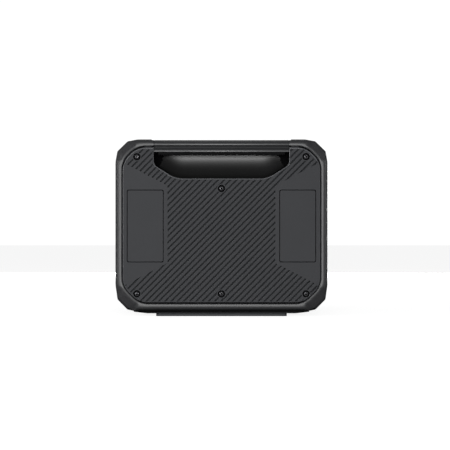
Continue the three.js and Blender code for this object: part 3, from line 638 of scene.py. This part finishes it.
def handle_bar():
    section = []
    for k in range(13):  # the rounded top edge, like the frame's
        a = math.pi / 2 * k / 12
        section.append((-197.2 - 12.6 * math.sin(a), 237.7 + 6.3 * math.cos(a)))
    section += [(-209.8, 236.9), (-209.5, 236.3), (-208.5, 235.9), (-206.2, 235.7), (-205.2, 235.2),
                (-204.8, 234.5), (-204.9, 233.5), (-205.6, 232.3), (-206.7, 231.3), (-207.6, 230.5),
                (-208.1, 229.9), (-208.3, 229.2), (-208.35, 228.4), (-208.35, 227.5), (-208.15, 227.2),
                (-207.4, 227.1), (-206.6, 227.6)]
    section += rounded([(-BAR_BACK, BAR_BOTTOM, 5), (-BAR_BACK, BAR_TOP, 6),
                        (-197.4, BAR_TOP, 0)], 8)[:-1]
    obj = made("front_bar_moulding", prism("x", section, -BAR_HALF, BAR_HALF, 0.35, steps=2))
    cut(obj, lathe("x", [(CORE_R + GAP, -100), (CORE_R + GAP, 100)], -CORE_Y, CORE_Z))
    finished(obj, BAR, "front_handle_bar", smooth=40)
    # a darker rubber inlay in the channel along the bar's front, which also paints in the channel's shade
    recolour(obj, RUBBER, lambda c, n: -209 < c.y < -203 and 231.6 < c.z < 236.5)
    turned(obj, "rear_bar_moulding", "rear_handle_bar")


handle_bar()


def handle_grip():
    top, half, pitch = BAR_BOTTOM - GAP, 87.0, 2.8
    root, tip = top - 3.4, top - 4.5  # of the teeth
    line = []
    for k in range(int(2 * half / pitch)):
        x = -half + k * pitch
        line += [(x + 0.2, root), (x + 0.45, tip), (x + 1.45, tip), (x + 1.7, root)]
    outline = [(-half - 0.6, top), (-half - 0.6, root)] + line + [(half + 0.6, root), (half + 0.6, top)]
    obj = made("front_grip_comb", prism("y", outline, -203.5, -187.5))
    finished(obj, GRIP, "front_handle_grip", smooth=30)
    turned(obj, "rear_grip_comb", "rear_handle_grip")


handle_grip()


# ---------------------------------------- housings
def sorted_span(sign, a, b):
    """The span from a to b, or its mirror image on the negative side."""
    return (a, b) if sign > 0 else (-b, -a)


def housing():
    inset = HALF_W - BODY_HALF
    shell = made("housing_blank", prism("y", silhouette(inset), -BODY_END, BODY_END, 0.8))
    cut(shell, prism("y", inner_edge(GAP), -HOUSING_END, HOUSING_END),
        prism("z", rectangle(-DECK_HALF, DECK_HALF, -BODY_END, BODY_END, 1.0), BODY_TOP - 2, DECK_TOP,
              0.9, (False, True)), operation="UNION")
    back = PANEL_FACE - PANEL_THICK - GAP - WELL_DEPTH - WELL_WALL - GAP
    front = HOUSING_END + 3
    wells, lugs = [], []  # room for the handle wells, and for the lugs that hold the bars' cores
    for end in (-1, 1):
        wells.append(prism("y", opening(2 * GAP + WELL_WALL, HEIGHT + 4),
                           *sorted_span(end, back, front)))
        lugs.append(block((-109.3, 109.3), sorted_span(end, 185.6, front), (226, HEIGHT + 4)))
    hollow_body = made("hollow", prism("y", silhouette(inset + WALL, BODY_BOTTOM + WALL),
                                       -BODY_END + WALL, BODY_END - WALL))
    cut(hollow_body, prism("y", inner_edge(GAP + WALL), -HOUSING_END + WALL, HOUSING_END - WALL),
        operation="UNION")
    for end in (-1, 1):
        cut(hollow_body, prism("y", opening(2 * GAP + WELL_WALL + WALL, HEIGHT + 4),
                               *sorted_span(end, back - WALL, front)),
            block((-112.4, 112.4), sorted_span(end, 182.5, front), (223, HEIGHT + 4)))
    mat = prism("z", rectangle(-MAT_X - GAP, MAT_X + GAP, -MAT_Y - GAP, MAT_Y + GAP, 4.3),
                DECK_TOP - MAT_SINK, DECK_TOP + 2)
    window = prism("x", rectangle(-SIDE_Y - GAP, SIDE_Y + GAP, SIDE_LOW - GAP, SIDE_HIGH + GAP, 8, 8),
                   -160, 160)
    cut(shell, *wells, *lugs, hollow_body, mat, window)
    flutes = []
    for z in (34, 46, 58, 70):  # long flutes down both long sides of the bottom housing
        for side in (-1, 1):
            section = [(side * (BODY_HALF + 1.0), -146), (side * (BODY_HALF + 1.0), 146),
                       (side * (BODY_HALF - 1.2), 142), (side * (BODY_HALF - 1.2), -142)]
            if side < 0:
                section.reverse()
            flutes.append(prism("z", section, z, z + 3.2))
    # the bottom housing is a copy of the blank, and the top housing is the blank itself
    bottom = made("bottom_blank", ([tuple(c / MM for c in v.co) for v in shell.data.vertices],
                                   [tuple(p.vertices) for p in shell.data.polygons]))
    bottom.name = "bottom_housing_shell"
    cut(bottom, block((-160, 160), (-230, 230), (-5, SPLIT_Z - GAP - SEAL / 2)),
        operation="INTERSECT")
    cut(bottom, *flutes)
    top = shell
    top.name = "top_housing_shell"
    cut(top, block((-160, 160), (-230, 230), (SPLIT_Z + GAP + SEAL / 2, HEIGHT + 5)),
        operation="INTERSECT")
    for half, node in ((bottom, "bottom_housing"), (top, "top_housing")):
        finished(half, HOUSING, node, smooth=24)
        # painted shade on what lies behind the gap round each end panel
        recolour(half, PAINTED_RECESS_SHADE, lambda c, n: abs(c.y) > FRAME_BACK + 2)


housing()


def stacking_base():
    skid = prism("y", [(-103, FOOT_HEIGHT), (103, FOOT_HEIGHT), (121.6, 6.2), (121.6, 6.9),
                       (118, 6.2), (-118, 6.2), (-121.6, 6.9), (-121.6, 6.2)], -203, 203, 0.25, steps=2)
    obj = made("stacking_base_pad", skid)
    foot = prism("z", rectangle(-FOOT_HALF, FOOT_HALF, -FOOT_L, FOOT_L, 4), 0, FOOT_HEIGHT + 0.5,
                 0.5, (True, False))
    cut(obj, foot, operation="UNION")
    # grooves across the underside of the foot
    grooves = [prism("x", [(y, -1.0), (y + 2.4, -1.0), (y + 2.0, 0.9), (y + 0.4, 0.9)], -78, 78)
               for y in range(-184, 184, 12)]
    cut(obj, joined(*grooves))
    finished(obj, FOOT, "stacking_base")
    recolour(obj, SKID_AND_UNDERSIDE_SHADE, lambda c, n: c.z > FOOT_HEIGHT - 0.1)


stacking_base()


def top_mat():
    face = DECK_TOP + 0.4
    obj = made("top_mat_ribbed", prism("z", rectangle(-MAT_X, MAT_X, -MAT_Y, MAT_Y, 4),
                                       DECK_TOP - MAT_SINK + GAP, face, 0.5, (False, True)))
    grooves = made("grooves", rib_grooves((-MAT_X, MAT_X), (-MAT_Y, MAT_Y), face, 1.0,
                                          pitch=8.1, phase=0, width=2.4, axis="z", out=1))
    cut(grooves, loft([along("z", rectangle(-MAT_X + 8, MAT_X - 8, -MAT_Y + 8, MAT_Y - 8, 6), z)
                       for z in (240, 250)]), operation="INTERSECT")
    cut(obj, grooves)
    finished(obj, MAT, "top_mat")


top_mat()


# ---------------------------------------- side fittings
def side_plate(name, side):
    """A plate that shows through a side window of the top housing, held by a flange behind its edge."""
    plug = rectangle(-SIDE_Y, SIDE_Y, SIDE_LOW, SIDE_HIGH, 7.7, 8)
    flange = rectangle(-SIDE_Y - 4, SIDE_Y + 4, SIDE_LOW - 4, SIDE_HIGH + 4, 8, 8)
    span = sorted_span(side, SIDE_BACK, SIDE_FACE)
    obj = made(name, prism("x", plug, *span, 0.9, (side < 0, side > 0), 4))
    cut(obj, prism("x", flange, *sorted_span(side, SIDE_BACK, BODY_HALF - WALL - GAP)),
        operation="UNION")
    return obj


def service_cover():
    obj = side_plate("service_cover_ribbed", -1)
    grooves = made("grooves", rib_grooves((-SIDE_Y, SIDE_Y), (SIDE_LOW, SIDE_HIGH), -SIDE_FACE, 1.4,
                                          axis="x"))
    cut(grooves, loft([along("x", rectangle(-SIDE_Y + 9, SIDE_Y - 9, SIDE_LOW + 9, SIDE_HIGH - 9, 5), x)
                       for x in (-150, -135)]), operation="INTERSECT")
    cut(obj, grooves)
    finished(obj, COVER, "service_cover", smooth=24)


service_cover()


def control_panel():
    obj = side_plate("control_panel_face", 1)
    w = 2.5  # the tub's wall
    tub = block((BAY_BACK - w, SIDE_BACK + 1), (BAY_Y[0] - w, BAY_Y[1] + w),
                (BAY_Z[0] - w, BAY_Z[1] + w))
    cut(obj, tub, operation="UNION")
    lip_y = (BAY_Y[0] - DOOR_LIP, BAY_Y[1] + DOOR_LIP)
    bay = prism("x", rectangle(*BAY_Y, *BAY_Z, 3), BAY_BACK, 150)
    rebate = block((SIDE_FACE - DOOR_THICK - GAP, 150), lip_y, (BAY_Z[0] - DOOR_LIP, BAY_Z[1] + 8))
    knuckle = block((HINGE_X - 3.5, 150), lip_y, (BAY_Z[1] - 1, BAY_Z[1] + 8))
    pin = lathe("y", [(1.7, BAY_Y[0] - 6.5), (1.7, BAY_Y[1] + 6.5)], HINGE_X, HINGE_Z, 20)
    # the button's hole, with a bevel round it
    button = lathe("x", [(BUTTON_R + GAP, SIDE_BACK - 2), (BUTTON_R + GAP, SIDE_FACE - 1.2),
                         (BUTTON_R + 1.6, SIDE_FACE + 0.02), (BUTTON_R + 1.6, 150)],
                   BUTTON_Y, BUTTON_Z, 48)
    pocket = prism("x", rectangle(DISPLAY_Y - DISPLAY_HY - GAP, DISPLAY_Y + DISPLAY_HY + GAP,
                                  DISPLAY_Z - DISPLAY_HZ - GAP, DISPLAY_Z + DISPLAY_HZ + GAP, 2.2),
                   SIDE_FACE - 2.3, 150)
    # holes for the port sockets
    holes = [prism("x", rectangle(y - 17.3, y + 17.3, SOCKET_Z - 12.3, SOCKET_Z + 12.3, 5.3), 120, 130)
             for y in SOCKET_Y]
    cut(obj, bay, rebate, knuckle, pin, button, pocket, *holes)
    finished(obj, GLOSS, "control_panel", smooth=30)


control_panel()


def port_door():
    y = (BAY_Y[0] - DOOR_LIP + GAP, BAY_Y[1] + DOOR_LIP - GAP)
    low = BAY_Z[0] - DOOR_LIP + GAP
    plate = prism("x", rounded([(y[0], low, 2.5), (y[1], low, 2.5),
                                (y[1], HINGE_Z, 0.3), (y[0], HINGE_Z, 0.3)]),
                  SIDE_FACE - DOOR_THICK, SIDE_FACE, 0.6, (False, True))
    obj = made("port_door_flap", plate)
    barrel = [(2.6, y[0]), (3.0, y[0] + 0.4), (3.0, y[1] - 0.4), (2.6, y[1])]
    cut(obj, lathe("y", barrel, HINGE_X, HINGE_Z, 32),
        lathe("y", [(1.5, y[0] - 3), (1.5, y[1] + 3)], HINGE_X, HINGE_Z, 20), operation="UNION")
    middle, reach = (BAY_Y[0] + BAY_Y[1]) / 2, 15  # the fingertip scoop in the lower edge
    scoop = loft([along("x", rectangle(middle - reach - d, middle + reach + d, low - 6, low + 4 + d, 3),
                        SIDE_FACE - 1.2 + x)
                  for x, d in ((0, 0), (0.9, 0.35), (1.3, 1.0), (3, 1.2))])
    # four grooves along the door, for grip
    lines = [prism("x", rectangle(y[0] + 9, y[1] - 9, z, z + 1.6, 0.75), SIDE_FACE - 0.9, SIDE_FACE + 1)
             for z in (139, 145, 151, 157)]
    cut(obj, scoop, *lines)
    finished(obj, COVER, "port_door", body="port_door", smooth=30)


port_door()


def power_button():
    face = SIDE_FACE + 1.0
    profile = [(BUTTON_R + 2, 134), (BUTTON_R + 2, SIDE_BACK - GAP), (BUTTON_R, SIDE_BACK - GAP + 0.01),
               (BUTTON_R, face - 0.9), (BUTTON_R - 0.25, face - 0.3), (BUTTON_R - 0.9, face),
               (6.6, face - 0.05), (6.3, face - 0.35), (5.7, face - 0.35), (5.4, face - 0.1),
               (4.0, face - 0.3), (0, face - 0.5)]
    obj = made("power_button_cap", lathe("x", profile, BUTTON_Y, BUTTON_Z, 48))
    finished(obj, COVER, "power_button", body="power_button", smooth=30)
    section = [(6.22, face - 0.33), (6.22, face - 0.16), (5.78, face - 0.16), (5.78, face - 0.33)]
    rings = [along("x", circle(BUTTON_Y, BUTTON_Z, r, 48), x) for r, x in section]
    ring = made("power_button_ring", loft(rings, closed=True))
    finished(ring, GLOW, body="power_button")


power_button()


def display_window():
    outline = rectangle(DISPLAY_Y - DISPLAY_HY, DISPLAY_Y + DISPLAY_HY,
                        DISPLAY_Z - DISPLAY_HZ, DISPLAY_Z + DISPLAY_HZ, 2.0)
    obj = made("display_glass_lens",
               prism("x", outline, SIDE_FACE - 2, SIDE_FACE + 0.2, 0.35, (False, True)))
    finished(obj, GLASS, "display_window")
    starts = [DISPLAY_Y - 24 + k * 10 for k in range(5)]  # five charge bars
    outlines = [rectangle(y, y + 8, DISPLAY_Z - 2, DISPLAY_Z + 2, 0.8) for y in starts]
    bars = made("display_bars", joined(*[
        prism("x", bar, SIDE_FACE + 0.12, SIDE_FACE + 0.26) for bar in outlines]))
    finished(bars, GLOW)


display_window()

# the pieces that show and keep their CAD shape
for name in ("port_socket_1", "port_socket_2", "housing_seal", "front_handle_core", "rear_handle_core"):
    frame["nodes"][name].data.shade_smooth()
    frame["nodes"][name].data.set_sharp_from_angle(angle=math.radians(30))


# ---------------------------------------- floor, light and camera
def floor():
    """A white floor that the camera sees, and that lights nothing by reflection."""
    mesh = bpy.data.meshes.new("floor")
    mesh.from_pydata([(-12, -12, 0), (12, -12, 0), (12, 12, 0), (-12, 12, 0)], [], [(0, 1, 2, 3)])
    obj = bpy.data.objects.new("floor", mesh)
    bpy.context.scene.collection.objects.link(obj)
    material = bpy.data.materials.new("floor_white")
    material.use_nodes = True
    shader = material.node_tree.nodes["Principled BSDF"]
    shader.inputs["Base Color"].default_value = (0.55, 0.55, 0.55, 1)
    shader.inputs["Roughness"].default_value = 1.0
    shader.inputs["Specular IOR Level"].default_value = 0.0
    shader.inputs["Emission Color"].default_value = (1, 1, 1, 1)
    shader.inputs["Emission Strength"].default_value = 0.88
    obj.data.materials.append(material)
    obj.visible_diffuse = obj.visible_glossy = False


def softbox(name, place, target, size, power):
    """A rectangular lamp, in metres and watts."""
    light = bpy.data.lights.new(name, "AREA")
    light.shape, light.size, light.size_y, light.energy = "RECTANGLE", size[0], size[1], power
    obj = bpy.data.objects.new(name, light)
    obj.visible_camera = False
    bpy.context.scene.collection.objects.link(obj)
    obj.location = place
    obj.rotation_euler = (Vector(target) - Vector(place)).to_track_quat("-Z", "Y").to_euler()
    return obj


def studio():
    world = bpy.data.worlds.new("studio")
    bpy.context.scene.world = world
    world.use_nodes = True
    nodes, links = world.node_tree.nodes, world.node_tree.links
    backdrop = nodes["Background"]
    backdrop.inputs["Color"].default_value = (1, 1, 1, 1)
    backdrop.inputs["Strength"].default_value = 1.05
    fill = nodes.new("ShaderNodeBackground")
    fill.inputs["Color"].default_value = (0.97, 0.98, 1, 1)
    place = nodes.new("ShaderNodeTexCoord")
    split = nodes.new("ShaderNodeSeparateXYZ")
    rise = nodes.new("ShaderNodeMapRange")  # dim from above, almost dark from below
    rise.inputs["From Min"].default_value, rise.inputs["From Max"].default_value = -0.1, 0.7
    rise.inputs["To Min"].default_value, rise.inputs["To Max"].default_value = 0.0, 0.09
    links.new(place.outputs["Generated"], split.inputs["Vector"])
    links.new(split.outputs["Z"], rise.inputs["Value"])
    links.new(rise.outputs["Result"], fill.inputs["Strength"])
    path = nodes.new("ShaderNodeLightPath")
    mix = nodes.new("ShaderNodeMixShader")
    links.new(path.outputs["Is Camera Ray"], mix.inputs["Fac"])
    links.new(fill.outputs["Background"], mix.inputs[1])
    links.new(backdrop.outputs["Background"], mix.inputs[2])
    links.new(mix.outputs["Shader"], nodes["World Output"].inputs["Surface"])
    middle = (0, 0, 0.12)  # of the battery; every lamp points at it
    softbox("front", (-0.1, -3.0, 0.28), middle, (0.7, 0.4), 49)
    softbox("front_left", (-1.0, -1.3, 0.35), middle, (0.5, 0.4), 6.5)
    softbox("front_right", (1.7, -2.4, 0.5), middle, (0.7, 0.6), 5)
    softbox("right", (2.6, 0.0, 0.5), middle, (1.4, 0.6), 8)
    softbox("left", (-2.6, 0.0, 0.5), middle, (1.4, 0.6), 8)
    softbox("above", (0, 1.5, 2.1), middle, (1.0, 1.0), 3.0)
    softbox("back", (0.3, 2.9, 0.17), middle, (1.3, 0.3), 46)


def camera():
    data = bpy.data.cameras.new("camera")
    data.lens, data.sensor_width = 200.0, 36.0  # a long lens, for the flat view
    data.clip_start, data.clip_end = 0.05, 60.0
    obj = bpy.data.objects.new("camera", data)
    bpy.context.scene.collection.objects.link(obj)
    width, plane = 0.6241, -0.197  # the view is that wide at the widest part of the front frame
    distance = width * data.lens / data.sensor_width
    obj.location = (0.0049, plane - distance, 0.1263)
    obj.rotation_euler = (math.pi / 2, 0, 0)
    bpy.context.scene.camera = obj


floor()
studio()
camera()
bpy.context.scene.view_settings.view_transform = "Standard"
